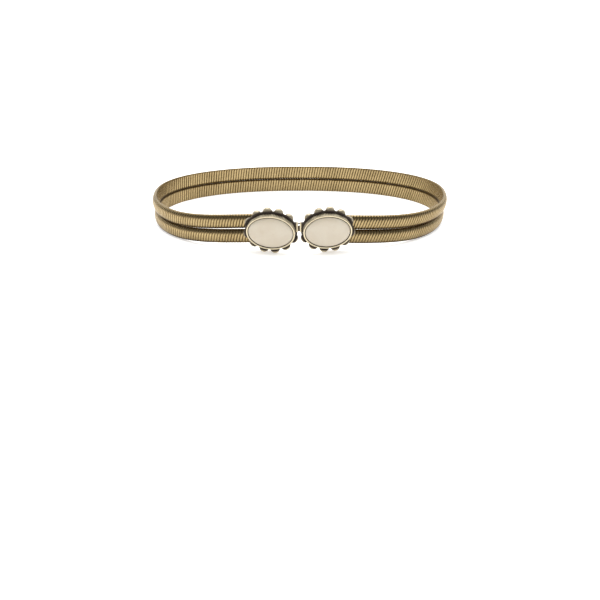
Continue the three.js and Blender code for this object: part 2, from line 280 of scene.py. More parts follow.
def add_node(tree, kind, inputs=None, **settings):
    """A new node with its settings; inputs are values, or sockets to link from."""
    node = tree.nodes.new(kind)
    for name, value in settings.items():
        setattr(node, name, value)
    for key, value in (inputs or {}).items():
        if isinstance(value, bpy.types.NodeSocket):
            tree.links.new(value, node.inputs[key])
        else:
            node.inputs[key].default_value = value
    return node


def per_metre(size):
    """Texture scale that repeats once over a real size."""
    return 1 / size


def colour(value):
    """Colour socket value of a linear colour."""
    return (*value, 1)


def new_material(name):
    """An empty node material with its output and object coordinates."""
    material = bpy.data.materials.new(name)
    material.use_nodes = True
    tree = material.node_tree
    tree.nodes.clear()
    output = add_node(tree, "ShaderNodeOutputMaterial")
    place = add_node(tree, "ShaderNodeTexCoord").outputs["Object"]
    return material, tree, output, place


def plated_coil_gold(finish):
    """Antique gold plate on drawn brass wire, wound and rolled flat: warm, fairly sharp
    reflections on each turn's crown, brown tarnish with painted shade in the valleys, and painted
    shade along the lower edge and on the edges where the strands face each other."""
    material, tree, output, place = new_material("plated_coil_gold")
    # Tarnish and painted shade, stored on the mesh point by point
    tarnish_and_shade = add_node(tree, "ShaderNodeAttribute", attribute_name="tarnish_and_shade").outputs["Fac"]
    # Tarnish comes and goes over a few centimetres of strap
    patches = add_node(tree, "ShaderNodeTexNoise", {
        "Vector": place, "Scale": per_metre(22 * MM), "Detail": 3.0,
    })
    # Fine wear, drawn at 1.5 mm so that it shows: the real grain is far finer
    grain = add_node(tree, "ShaderNodeTexNoise", {
        "Vector": place, "Scale": per_metre(1.5 * MM), "Detail": 4.0,
    })
    worn = add_node(tree, "ShaderNodeMapRange", {
        "Value": grain.outputs["Fac"], "From Min": 0.35, "From Max": 0.7,
        "To Min": 0.0, "To Max": 0.18,
    })
    cloudy = add_node(tree, "ShaderNodeMapRange", {
        "Value": patches.outputs["Fac"], "From Min": 0.35, "From Max": 0.7,
        "To Min": 0.0, "To Max": 0.16,
    })
    # Tarnish and painted shade from the mesh, with wear and patches from noise
    aged_and_shaded = add_node(tree, "ShaderNodeMath", {0: tarnish_and_shade, 1: worn.outputs[0]}, operation="ADD")
    share = add_node(tree, "ShaderNodeMath", {
        0: aged_and_shaded.outputs[0], 1: cloudy.outputs[0],
    }, operation="ADD", use_clamp=True)
    tint = add_node(tree, "ShaderNodeMix", {
        0: share.outputs[0], 6: colour(finish.coil_gold), 7: colour(finish.coil_tarnish_and_shade),
    }, data_type="RGBA")
    rough = add_node(tree, "ShaderNodeMapRange", {
        "Value": share.outputs[0], "To Min": 0.18, "To Max": 0.45,
    })
    bump = add_node(tree, "ShaderNodeBump", {
        "Height": grain.outputs["Fac"], "Strength": 0.12, "Distance": 0.05 * MM,
    })
    shader = add_node(tree, "ShaderNodeBsdfPrincipled", {
        "Base Color": tint.outputs[2], "Metallic": 1.0,
        "Roughness": rough.outputs[0], "Normal": bump.outputs[0],
    })
    tree.links.new(shader.outputs[0], output.inputs["Surface"])
    return material


def cast_champagne_gold(finish):
    """Antique gold plate on cast brass, blackened and then polished on its crowns: pale bright
    petals and rim with near-black oxide left in the moat and the flutes, and painted shade on the
    petals by the moat, on their outer walls and on the rim's inner edge."""
    material, tree, output, place = new_material("cast_champagne_gold")
    # Patina, with painted shade on the petals and the rim's inner edge
    patina_and_shade = add_node(tree, "ShaderNodeAttribute", attribute_name="patina_and_shade").outputs["Fac"]
    satin = add_node(tree, "ShaderNodeAttribute", attribute_name="satin").outputs["Fac"]
    # Casting skin about 1.2 mm across, and pits of 0.6 mm drawn larger than they are
    skin = add_node(tree, "ShaderNodeTexNoise", {
        "Vector": place, "Scale": per_metre(1.2 * MM), "Detail": 3.0,
    })
    pits = add_node(tree, "ShaderNodeTexNoise", {
        "Vector": place, "Scale": per_metre(0.6 * MM), "Detail": 2.0,
    })
    edge = add_node(tree, "ShaderNodeMapRange", {
        "Value": skin.outputs["Fac"], "To Min": -0.15, "To Max": 0.15,
    })
    rubbed_and_shaded = add_node(tree, "ShaderNodeMath", {0: patina_and_shade, 1: edge.outputs[0]}, operation="ADD")
    share = add_node(tree, "ShaderNodeMapRange", {
        "Value": rubbed_and_shaded.outputs[0], "From Min": 0.2, "From Max": 0.85,
    }, interpolation_type="SMOOTHSTEP")
    tint = add_node(tree, "ShaderNodeMix", {
        0: share.outputs[0], 6: colour(finish.cast_gold), 7: colour(finish.cast_patina_and_shade),
    }, data_type="RGBA")
    dull = add_node(tree, "ShaderNodeMath", {
        0: share.outputs[0], 1: satin,
    }, operation="MAXIMUM")
    rough = add_node(tree, "ShaderNodeMapRange", {
        "Value": dull.outputs[0], "To Min": 0.28, "To Max": 0.6,
    })
    # The patina is an oxide, and reflects less like a metal; so do the milled flutes
    metal = add_node(tree, "ShaderNodeMapRange", {
        "Value": dull.outputs[0], "To Min": 1.0, "To Max": 0.35,
    })
    bump = add_node(tree, "ShaderNodeBump", {
        "Height": pits.outputs["Fac"], "Strength": 0.15, "Distance": 0.06 * MM,
    })
    shader = add_node(tree, "ShaderNodeBsdfPrincipled", {
        "Base Color": tint.outputs[2], "Metallic": metal.outputs[0],
        "Roughness": rough.outputs[0], "Normal": bump.outputs[0],
    })
    tree.links.new(shader.outputs[0], output.inputs["Surface"])
    return material


def sheet_brass(name, finish, dark_colour, dark_range, metallic):
    """Plated sheet brass, cut, bent and brushed upright, darkened in clouds, whose share of the
    dark colour stays in its range."""
    material, tree, output, place = new_material(name)
    # Brush marks of 0.5 mm by 6 mm, drawn coarser than the real ones
    stretch = add_node(tree, "ShaderNodeMapping", {
        "Vector": place,
        "Scale": (per_metre(0.5 * MM), per_metre(0.5 * MM), per_metre(6 * MM)),
    })
    marks = add_node(tree, "ShaderNodeTexNoise", {
        "Vector": stretch.outputs[0], "Scale": 1.0, "Detail": 3.0,
    })
    clouds = add_node(tree, "ShaderNodeTexNoise", {
        "Vector": place, "Scale": per_metre(5 * MM), "Detail": 2.0,
    })
    dulled = add_node(tree, "ShaderNodeMapRange", {
        "Value": clouds.outputs["Fac"], "From Min": 0.35, "From Max": 0.7,
        "To Min": dark_range[0], "To Max": dark_range[1],
    })
    tint = add_node(tree, "ShaderNodeMix", {
        0: dulled.outputs[0], 6: colour(finish.clasp_brass), 7: colour(dark_colour),
    }, data_type="RGBA")
    rough = add_node(tree, "ShaderNodeMapRange", {
        "Value": marks.outputs["Fac"], "To Min": 0.25, "To Max": 0.5,
    })
    bump = add_node(tree, "ShaderNodeBump", {
        "Height": marks.outputs["Fac"], "Strength": 0.25, "Distance": 0.04 * MM,
    })
    shader = add_node(tree, "ShaderNodeBsdfPrincipled", {
        "Base Color": tint.outputs[2], "Metallic": metallic,
        "Roughness": rough.outputs[0], "Normal": bump.outputs[0],
    })
    tree.links.new(shader.outputs[0], output.inputs["Surface"])
    return material


def brushed_sheet_brass(finish):
    """The end caps: dull gold sheet with a brown cloud here and there."""
    return sheet_brass("brushed_sheet_brass", finish, finish.coil_tarnish_and_shade, (0.0, 0.4), 1.0)


def blackened_sheet_brass(finish):
    """The hook: nearly black between the bright bars, an oxide more than a bare metal."""
    return sheet_brass("blackened_sheet_brass", finish, finish.cast_patina_and_shade, (0.94, 1.0), 0.5)


def cream_resin(finish):
    """Cast cream resin, polished to a gloss: nearly even colour with soft warm clouds, a clear
    sharp reflection and a dark line of painted shadow where it sits in its bezel."""
    material, tree, output, place = new_material("cream_resin")
    clouds = add_node(tree, "ShaderNodeTexNoise", {
        "Vector": place, "Scale": per_metre(14 * MM), "Detail": 3.0, "Distortion": 0.6,
    })
    specks = add_node(tree, "ShaderNodeTexNoise", {
        "Vector": place, "Scale": per_metre(1.6 * MM), "Detail": 2.0,
    })
    both = add_node(tree, "ShaderNodeMath", {
        0: specks.outputs["Fac"], 1: 0.25, 2: clouds.outputs["Fac"],
    }, operation="MULTIPLY_ADD")
    share = add_node(tree, "ShaderNodeMapRange", {
        "Value": both.outputs[0], "From Min": 0.45, "From Max": 0.85,
    })
    tint = add_node(tree, "ShaderNodeMix", {
        0: share.outputs[0], 6: colour(finish.cream), 7: colour(finish.cream_shade),
    }, data_type="RGBA")
    # Painted shadow on the girdle and foot of the stone, under the bezel's rim
    seat_shadow = add_node(tree, "ShaderNodeAttribute", attribute_name="seat_shadow").outputs["Fac"]
    seat_shadowed = add_node(tree, "ShaderNodeMix", {
        0: seat_shadow, 6: tint.outputs[2], 7: colour(finish.cast_patina_and_shade),
    }, data_type="RGBA")
    shader = add_node(tree, "ShaderNodeBsdfPrincipled", {
        "Base Color": seat_shadowed.outputs[2], "Roughness": 0.16, "IOR": 1.5,
        "Subsurface Weight": 0.15, "Subsurface Radius": (1.0, 0.8, 0.6),
        "Subsurface Scale": 1.0 * MM,
    })
    tree.links.new(shader.outputs[0], output.inputs["Surface"])
    return material


def outward_mesh(name, points, faces):
    """A mesh of closed shells whose faces look outward."""
    mesh = bpy.data.meshes.new(name)
    mesh.from_pydata([tuple(p) for p in points], [], faces)
    work = bmesh.new()
    work.from_mesh(mesh)
    bmesh.ops.recalc_face_normals(work, faces=work.faces)
    work.to_mesh(mesh)
    work.free()
    return mesh


def new_piece(name, points, faces, material, sharp_angle=None):
    """A smooth mesh piece with one material."""
    mesh = outward_mesh(name, points, faces)
    mesh.shade_smooth()
    if sharp_angle is not None:
        mesh.set_sharp_from_angle(angle=sharp_angle)
    mesh.materials.append(material)
    piece = bpy.data.objects.new(name, mesh)
    bpy.context.scene.collection.objects.link(piece)
    return piece


def paint(mesh, name, values):
    """Stores one value for each point, which the material reads by its name."""
    mesh.attributes.new(name, "FLOAT", "POINT").data.foreach_set("value", values)


def signed_power(value, exponent):
    """Power of the size that keeps the sign, for superellipse coordinates."""
    return np.sign(value) * np.abs(value) ** exponent


def strap_run(end_x, inset_left, inset_right):
    """Arc lengths, points and outward directions along a strand's inner face, end to end."""
    fine_steps = 8000
    angle = np.linspace(0, 2 * math.pi, fine_steps + 1)
    front = np.cos(angle) > 0
    exponent = np.where(front, 2 / FRONT_SQUARENESS, 2 / BACK_SQUARENESS)
    reach = np.where(front, FRONT_REACH, BACK_REACH)
    x = -WAIST_HALF_WIDTH * signed_power(np.sin(angle), exponent)
    x *= 1 - np.where(x < 0, inset_left, inset_right) / WAIST_HALF_WIDTH
    y = -reach * signed_power(np.cos(angle), exponent)
    kept = (np.abs(x) >= end_x) | (y > 0)
    points = np.stack([x[kept], y[kept]], axis=1)
    steps = np.diff(points, axis=0)
    lengths = np.concatenate([[0], np.cumsum(np.hypot(steps[:, 0], steps[:, 1]))])
    along = np.gradient(points, lengths, axis=0)
    along /= np.linalg.norm(along, axis=1)[:, None]
    outward = np.stack([-along[:, 1], along[:, 0]], axis=1)
    return lengths, points, outward


def lift_share(y):
    """Rise of the strap towards the front, from 0 to 1."""
    run = (LIFT_START - y) / (LIFT_START + FRONT_REACH)
    return np.clip(run, 0, 1) ** LIFT_POWER


def coil_outline(dome_points):
    """Points and outward directions round the section, down its domed face and up its flat
    back, in metres; the same above and below the middle."""
    half = COIL_HEIGHT / 2
    fine_steps, corner_steps, flat_steps = 400, 3, 8
    turn = np.linspace(math.pi / 2, -math.pi / 2, fine_steps + 1)
    dome_x = CORNER_ROUND + (COIL_THICKNESS - CORNER_ROUND) * np.cos(turn) ** (2 / DOME_SQUARENESS)
    dome_z = half * signed_power(np.sin(turn), 2 / DOME_SQUARENESS)
    lengths = np.concatenate([[0], np.cumsum(np.hypot(np.diff(dome_x), np.diff(dome_z)))])
    places = np.linspace(0, lengths[-1], dome_points)
    corner = np.linspace(0, math.pi / 2, corner_steps + 1)[1:]
    low_x = CORNER_ROUND * (1 - np.sin(corner))
    low_z = -half + CORNER_ROUND * (1 - np.cos(corner))
    flat_z = np.linspace(low_z[-1], -low_z[-1], flat_steps + 1)[1:-1]
    points = np.stack([
        np.concatenate([np.interp(places, lengths, dome_x), low_x, 0 * flat_z, low_x[::-1]]),
        np.concatenate([np.interp(places, lengths, dome_z), low_z, flat_z, -low_z[::-1]]),
    ], axis=1)
    along = np.roll(points, -1, axis=0) - np.roll(points, 1, axis=0)
    along /= np.linalg.norm(along, axis=1)[:, None]
    outward = np.stack([-along[:, 1], along[:, 0]], axis=1)
    return points, outward


def tarnish_and_painted_shade(side, section, y, dip):
    """Share of tarnish and painted shade at each point of a strand: tarnish with painted shade in
    its valleys, painted shade along its dome's lower edge, and at the back painted shade on the
    edge that faces the other strand."""
    height = section[:, 1] / (COIL_HEIGHT / 2)
    # Tarnish with painted shade in the valleys between the turns
    valleys = TARNISH_AND_SHADE["valley"] * dip[:, None] ** TARNISH_AND_SHADE["valley_power"]
    # Painted shade along the lower edge of the dome, darker towards the bottom
    low_edge_shade = np.clip((-height - TARNISH_AND_SHADE["low_from"]) / TARNISH_AND_SHADE["low_span"], 0, 1)
    low_edge_shade *= TARNISH_AND_SHADE["low_edge_shade"] * (section[:, 0] > TARNISH_AND_SHADE["dome_from"])
    # Painted shade at the back on the edge that faces the other strand across the gap
    facing_shade = (-side * height > TARNISH_AND_SHADE["facing_from"]) & (section[:, 0] < TARNISH_AND_SHADE["facing_depth"])
    at_back = np.clip((y - TARNISH_AND_SHADE["back_from"]) / TARNISH_AND_SHADE["back_span"], 0, 1)
    return np.maximum(valleys, np.maximum(low_edge_shade[None, :], facing_shade[None, :] * at_back))


def wind_strand(name, strand, side, insets, material):
    """One strand above (side 1) or below (-1) the gap: the mesh rows follow the helix of its
    wires, so each turn has its own rounded crown and a sharp valley beside it."""
    lengths, points, outward = strap_run(strand.end_x, *insets)
    section, section_out = coil_outline(strand.dome_points)
    count, rows = len(section), strand.rib_rows
    lead = strand.wires * rows
    turns = round(lengths[-1] / strand.rib_spacing) - strand.wires
    spacing = lengths[-1] / (turns + strand.wires)
    row = np.arange(turns * rows + 1)
    half_turn = math.pi * (row % rows) / rows
    across = (1 - np.cos(half_turn)) / 2
    dip = 1 - np.sin(half_turn)
    slant = strand.wires * np.arange(count) / count
    run = ((row // rows + across)[:, None] + slant[None, :]) * spacing
    x, y, out_x, out_y = (
        np.interp(run, lengths, values)
        for values in (points[:, 0], points[:, 1], outward[:, 0], outward[:, 1])
    )
    edge = np.abs(section[:, 1]) / (COIL_HEIGHT / 2)
    closing = EDGE_CLOSING["share"] * edge ** EDGE_CLOSING["power"]
    depth = strand.rib_depth * dip[:, None] * (1 - closing)[None, :]
    out = section[None, :, 0] - depth * section_out[None, :, 0]
    up = section[None, :, 1] - depth * section_out[None, :, 1]
    share = lift_share(y)
    back_level = COIL_HEIGHT + strand.back_gap / 2
    front_level = np.where(x < 0, FRONT_LEVEL["left"], FRONT_LEVEL["right"])
    front_gap = np.where(x < 0, strand.gap_left, strand.gap_right)
    gap = strand.back_gap + (front_gap - strand.back_gap) * share
    level = back_level + (front_level - back_level) * share + side * (COIL_HEIGHT + gap) / 2
    # The strap leans at the sides, as much as the lower strand is set in
    inset = np.where(x < 0, strand.inset_left, strand.inset_right)
    lean = 1 + inset * up / (COIL_HEIGHT * WAIST_HALF_WIDTH)
    co = np.stack([
        (x + out_x * out) * lean + SIDE_SHIFT, y + out_y * out + STRAP_SHIFT, level + up,
    ], axis=2)
    co = co.reshape(-1, 3)

    # The last column joins the first one further on, as a helix does
    low, column = np.meshgrid(row[:-1], np.arange(count - 1), indexing="ij")
    flat = (low * count + column).ravel()
    faces = np.stack([flat, flat + 1, flat + 1 + count, flat + count], axis=1).tolist()
    last_row = len(row) - 1
    for start in range(last_row - lead):
        here = start * count + count - 1
        there = (start + lead) * count
        faces.append([here, there, there + count, here + count])
    first = list(range(count)) + [k * count for k in range(lead, 0, -1)]
    last = [last_row * count + k for k in range(count)]
    last += [(last_row - k) * count + count - 1 for k in range(1, lead + 1)]
    faces += [first, last]

    piece = new_piece(name, co.tolist(), faces, material)
    mesh = piece.data
    valley = np.zeros(len(co), bool).reshape(len(row), count)
    valley[row % rows == 0] = True
    valley = valley.ravel()
    ends = np.zeros(len(mesh.edges) * 2, np.int32)
    mesh.edges.foreach_get("vertices", ends)
    sharp = valley[ends.reshape(-1, 2)].all(axis=1)
    mesh.edges.foreach_set("use_edge_sharp", sharp)
    # Tarnish and painted shade for each point: valleys, lower dome edge and facing back edges
    paint(mesh, "tarnish_and_shade", tarnish_and_painted_shade(side, section, y, dip).ravel().astype(np.float32))
    return piece


class Shells:
    """Closed shells of one piece, with a value of patina and painted shade and a satin value at
    each point.
    """

    def __init__(self, matrix):
        self.matrix = matrix
        self.points = []
        self.faces = []
        self.patina_and_shade = []
        self.satin = []

    def add(self, points, faces, patina_and_shade, matrix=None, satin=None):
        """Adds one shell, placed by its own matrix or the piece's."""
        start = len(self.points)
        placed = matrix or self.matrix
        self.points += [placed @ Vector(p) for p in points]
        self.faces += [[start + i for i in face] for face in faces]
        self.patina_and_shade += list(patina_and_shade)
        self.satin += satin or [0.0] * len(points)


def skin(rows, rings=True, joined=False):
    """Points and faces over rows of equal length; rings closes each row, and joined runs the
    last row back to the first."""
    count = len(rows[0])
    points = [p for row in rows for p in row]
    faces = []
    for r in range(len(rows) if joined else len(rows) - 1):
        low = r * count
        high = ((r + 1) % len(rows)) * count
        for k in range(count if rings else count - 1):
            after = (k + 1) % count
            faces.append([low + k, low + after, high + after, high + k])
    return points, faces


def weld(points, faces, values):
    """Joins the points of one shell that share a place, and drops the faces that vanish."""
    nearest = 0.001 * MM
    places, kept, kept_values, joined = {}, [], [], []
    for point, value in zip(points, values):
        place = tuple(round(c / nearest) for c in point)
        if place not in places:
            places[place] = len(kept)
            kept.append(point)
            kept_values.append(value)
        joined.append(places[place])
    rings = []
    for face in faces:
        ring = [joined[i] for i in face]
        ring = [a for a, b in zip(ring, ring[1:] + ring[:1]) if a != b]
        if len(ring) > 2 and len(set(ring)) == len(ring):
            rings.append(ring)
    return kept, rings, kept_values


def even_angles(half_width, half_height, count, turn=0.0):
    """Ellipse angles whose points are evenly spaced along it."""
    fine_steps = 1440
    fine = np.linspace(0, 2 * math.pi, fine_steps + 1)
    x, z = half_width * np.cos(fine), half_height * np.sin(fine)
    lengths = np.concatenate([[0], np.cumsum(np.hypot(np.diff(x), np.diff(z)))])
    targets = ((np.arange(count) + turn) / count % 1) * lengths[-1]
    return np.interp(targets, lengths, fine)


def oval(size, inset, up, angles):
    """Points of an oval ring at one height above the plate."""
    width, height = size["half_width"] - inset, size["half_height"] - inset
    return [(width * math.cos(a), -up, height * math.sin(a)) for a in angles]


def medallion_matrix(side, rolled=True):
    """Turns a medallion's own coordinates (across, back, up) into the frame's."""
    hang = MEDALLIONS[side]
    u = hang["centre_x"] / WAIST_HALF_WIDTH
    n = FRONT_SQUARENESS
    y = -FRONT_REACH * (1 - u ** n) ** (1 / n)
    slope = FRONT_REACH / WAIST_HALF_WIDTH * u ** (n - 1) * (1 - u ** n) ** (1 / n - 1)
    yaw = hang["sign"] * math.atan(slope)
    low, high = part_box(f"stone_{side}")
    x = hang["sign"] * hang["centre_x"] + SIDE_SHIFT
    place = Vector((x, y + STRAP_SHIFT, (low.z + high.z) / 2))
    place += Vector((math.sin(yaw), -math.cos(yaw), 0)) * STANDOFF
    matrix = Matrix.Translation(place) @ Matrix.Rotation(yaw, 4, "Z")
    if rolled:
        roll = math.radians(-hang["sign"] * hang["droop"])
        matrix = matrix @ Matrix.Rotation(roll, 4, "Y")
    return matrix


def petal_spots(side, radius):
    """Middles of the petals, evenly spaced, without the one nearest to the clasp."""
    hang = MEDALLIONS[side]
    width, height = PETAL_RING["half_width"], PETAL_RING["half_height"]
    angles = even_angles(width, height, PETAL_COUNT, 0.5 + hang["turn"])
    spots = [Vector((width * math.cos(a), height * math.sin(a))) for a in angles]
    clasp = Vector((-hang["sign"] * MOAT["half_width"], radius))
    return sorted(spots, key=lambda spot: (spot - clasp).length)[1:]


def add_petal(shells, spot, radius, height):
    """One half-dome petal, cut off upright where it meets the moat."""
    along, rows_out = 28, 18
    shoulder, shoulder_height = 1.2 * MM, 0.45
    edge_height, dome_power = 0.1, 2.4
    search_angle, halvings = 0.6, 40
    sunk = PLATE["thickness"] - 0.05 * MM
    width, tall = MOAT["half_width"], MOAT["half_height"]

    def rim_point(angle):
        return Vector((width * math.cos(angle), tall * math.sin(angle)))

    middle = math.atan2(spot.y / tall, spot.x / width)

    def crossing(direction):
        near, far = middle, middle + direction * search_angle
        for _ in range(halvings):
            mid = (near + far) / 2
            if (rim_point(mid) - spot).length < radius:
                near = mid
            else:
                far = mid
        return near

    start, end = crossing(-1), crossing(1)
    first = rim_point(start) - spot
    last = rim_point(end) - spot
    from_angle = math.atan2(first.y, first.x)
    to_angle = math.atan2(last.y, last.x)
    if to_angle < from_angle:
        to_angle += 2 * math.pi
    inner = [rim_point(start + (end - start) * k / along) for k in range(along + 1)]
    outer = []
    for k in range(along + 1):
        angle = from_angle + (to_angle - from_angle) * k / along
        outer.append(spot + radius * Vector((math.cos(angle), math.sin(angle))))

    def crown(point, from_moat=0.0):
        share = min((point - spot).length / radius, 1)
        lean = 1 - min(from_moat / shoulder, 1)
        rounded = shoulder_height + (1 - shoulder_height) * math.sqrt(1 - lean * lean)
        domed = edge_height + (1 - edge_height) * math.sqrt(1 - share ** dome_power)
        return height * domed * rounded

    rows = [[(p.x, sunk, p.y) for p in inner]]
    patina_and_shade = [1.0] * (along + 1)
    rows.append([(p.x, -0.5 * crown(p), p.y) for p in inner])
    patina_and_shade += [0.95] * (along + 1)
    for r in range(rows_out + 1):
        share = (1 - math.cos(math.pi * r / rows_out)) / 2
        row = [a.lerp(b, share) for a, b in zip(inner, outer)]
        depths = [(p - a).length for p, a in zip(row, inner)]
        rows.append([(p.x, -crown(p, d), p.y) for p, d in zip(row, depths)])
        # Patina and painted shade: darkest by the moat, fading out across the dome
        patina_and_shade += [1.25 - 0.5 * d / MM for d in depths]
    # Painted shade on the petal's outer wall
    rows.append([(p.x, 0, p.y) for p in outer])
    patina_and_shade += [0.5] * (along + 1)
    rows.append([(p.x, sunk, p.y) for p in outer])
    patina_and_shade += [0.6] * (along + 1)
    # At both ends the inner and the outer side meet in one upright edge
    for seam in (0, along):
        foot, top = rows[0][seam], rows[2][seam]
        level = (foot[0], 0, foot[2])
        column = [foot, level] + [top] * (rows_out + 1) + [level, foot]
        for row, point in zip(rows, column):
            row[seam] = point
    points, faces, patina_and_shade = weld(*skin(rows, rings=False, joined=True), patina_and_shade)
    shells.add(points, faces, patina_and_shade, satin=[SATIN["petal"]] * len(points))


def add_bezel(shells, shape):
    """Raised oval collar: upright flutes, a rounded rim and the cup behind the stone."""
    points_in_flute = 8
    angles = even_angles(
        BEZEL["half_width"], BEZEL["half_height"], shape.flutes * points_in_flute
    )
    phase = [math.pi * (k % points_in_flute) / points_in_flute for k in range(len(angles))]
    dips = [shape.flute_depth * (1 - math.sin(p)) for p in phase]
    flute_patina = [0.75 * dip / shape.flute_depth for dip in dips]
    top = BEZEL["height"]
    band = top - RIM["band"]
    cup = RIM["width"] - RIM["undercut"]

    def fluted(up):
        return [oval(BEZEL, dip, up, [angle])[0] for angle, dip in zip(angles, dips)]

    # Blackened at the foot, then only in the valleys of the flutes
    rows = [fluted(up) for up in (-CLEARANCE, 0.8 * MM, 2 * MM, band)]
    patina_and_shade = [1.0] * len(angles) + [0.2 + 0.8 * p for p in flute_patina]
    patina_and_shade += flute_patina + flute_patina
    satin = [SATIN["flutes"]] * len(patina_and_shade)

    def smooth_row(inset, up, aged_and_shaded):
        rows.append(oval(BEZEL, inset, up, angles))
        patina_and_shade.extend([aged_and_shaded] * len(angles))

    smooth_row(0, band + 0.12 * MM, 0.2)
    steps = 5
    round_off = shape.rim_round
    for k in range(steps + 1):
        turn = math.pi / 2 * k / steps
        smooth_row(round_off * (1 - math.cos(turn)), top - round_off * (1 - math.sin(turn)), 0.0)
    # Painted shadow on the rim's inner edge and in the cup, darker towards the stone
    for k in range(steps + 1):
        turn = math.pi / 2 * k / steps
        inset = RIM["width"] - round_off * (1 - math.sin(turn))
        smooth_row(inset, top - round_off * (1 - math.cos(turn)), 0.9 * k / steps)
    smooth_row(RIM["width"], top - RIM["lip"], 0.9)
    smooth_row(cup, top - RIM["lip"], 1.0)
    smooth_row(cup, -CLEARANCE, 1.0)
    points, faces = skin(rows, joined=True)
    satin += [0.0] * (len(points) - len(satin))
    shells.add(points, faces, patina_and_shade, satin=satin)


def block(low, high, rounding):
    """Points and faces of a box with rounded edges between two corners."""
    work = bmesh.new()
    bmesh.ops.create_cube(work, size=1)
    low, high = Vector(low), Vector(high)
    for vert in work.verts:
        vert.co = [(a + b) / 2 + c * (b - a) for a, b, c in zip(low, high, vert.co)]
    if rounding:
        bmesh.ops.bevel(
            work, geom=work.edges, offset=rounding, segments=3, profile=0.5, affect="EDGES"
        )
    work.verts.index_update()
    points = [v.co.copy() for v in work.verts]
    faces = [[v.index for v in face.verts] for face in work.faces]
    work.free()
    return points, faces


def frame_block(side, from_x, to_x, y0, y1, z0, z1, rounding):
    """Rounded box whose x runs from the medallion's middle towards the clasp."""
    sign = MEDALLIONS[side]["sign"]
    xs = sorted((-sign * from_x, -sign * to_x))
    return block((xs[0], y0, z0), (xs[1], y1, z1), rounding)


def cut_out(points, faces, cutter_points, cutter_faces):
    """Points and faces of one closed body with another one cut out of it."""
    bodies = []
    for name, co, sides in (("body", points, faces), ("cutter", cutter_points, cutter_faces)):
        bodies.append(bpy.data.objects.new(name, outward_mesh(name, co, sides)))
        bpy.context.scene.collection.objects.link(bodies[-1])
    cut = bodies[0].modifiers.new("cut", "BOOLEAN")
    cut.operation = "DIFFERENCE"
    cut.solver = "EXACT"
    cut.object = bodies[1]
    made = bodies[0].evaluated_get(bpy.context.evaluated_depsgraph_get()).to_mesh()
    result = [v.co.copy() for v in made.vertices], [list(p.vertices) for p in made.polygons]
    for body in bodies:
        mesh = body.data
        bpy.data.objects.remove(body)
        bpy.data.meshes.remove(mesh)
    return result


def add_plate(shells, side):
    """Oval back plate, cut through by the slot of the clasp."""
    sides = 192
    edge = 0.25 * MM
    past = 1 * MM
    deep = PLATE["thickness"]
    angles = np.linspace(0, 2 * math.pi, sides, endpoint=False)
    rows = [
        oval(PLATE, edge, -deep, angles),
        oval(PLATE, 0, -deep + edge, angles),
        oval(PLATE, 0, -edge, angles),
        oval(PLATE, edge, 0, angles),
    ]
    points, faces = skin(rows)
    faces += [list(range(sides)), list(range(3 * sides, 4 * sides))]
    upright = medallion_matrix(side, rolled=False)
    level = CLASP_LEVEL - upright.translation.z
    outer = MEDALLIONS[side]["reach"] - BAR["width"]
    half = SLOT["height"] / 2
    slot_points, slot_faces = frame_block(
        side, outer - SLOT["width"], outer, -past, deep + past, level - half, level + half, 0
    )
    to_plate = shells.matrix.inverted() @ upright
    slot_points = [to_plate @ p for p in slot_points]
    points, faces = cut_out(points, faces, slot_points, slot_faces)
    # Blackened on the front, in the moat, and dull on the back and the edge
    shells.add(points, faces, [1.0 if p.y < 0.1 * MM else 0.5 for p in points])


def add_clasp_bar(shells, side):
    """Upright bar that the hook passes behind, and the frame of its slot."""
    upright = medallion_matrix(side, rolled=False)
    level = CLASP_LEVEL - upright.translation.z
    inner = MEDALLIONS[side]["reach"]
    outer = inner - BAR["width"]
    slot_outer = outer - SLOT["width"]
    deep = PLATE["thickness"]
    half = BAR["height"] / 2
    half_slot = SLOT["height"] / 2
    # The lugs start in the plate and stop a little inside the bar, so that no two faces share
    # a plane
    rooted = slot_outer - 1 * MM
    lug = half - 0.15 * MM
    hidden = inner - 0.3 * MM
    # From, to, front, back, low, high, rounding and patina of each part
    parts = [
        (outer, inner, -BAR["rise"], deep, level - half, level + half, 0.4 * MM, 0.05),
        (rooted, hidden, 0, deep, level + half_slot, level + lug, 0.2 * MM, 0.85),
        (rooted, hidden, 0, deep, level - lug, level - half_slot, 0.2 * MM, 0.85),
    ]
    for *spans, rounding, aged_and_shaded in parts:
        points, faces = frame_block(side, *spans, rounding)
        shells.add(points, faces, [aged_and_shaded] * len(points), upright)


def cast_setting(side, shape, material):
    """The whole cast setting: plate, petals, bezel and clasp bar."""
    shells = Shells(medallion_matrix(side))
    add_plate(shells, side)
    for spot in petal_spots(side, shape.petal_radius):
        add_petal(shells, spot, shape.petal_radius, shape.petal_height)
    add_bezel(shells, shape)
    add_clasp_bar(shells, side)
    piece = new_piece(
        f"setting_{side}_cast", shells.points, shells.faces, material, math.radians(40)
    )
    paint(piece.data, "patina_and_shade", shells.patina_and_shade)
    paint(piece.data, "satin", shells.satin)
    return piece


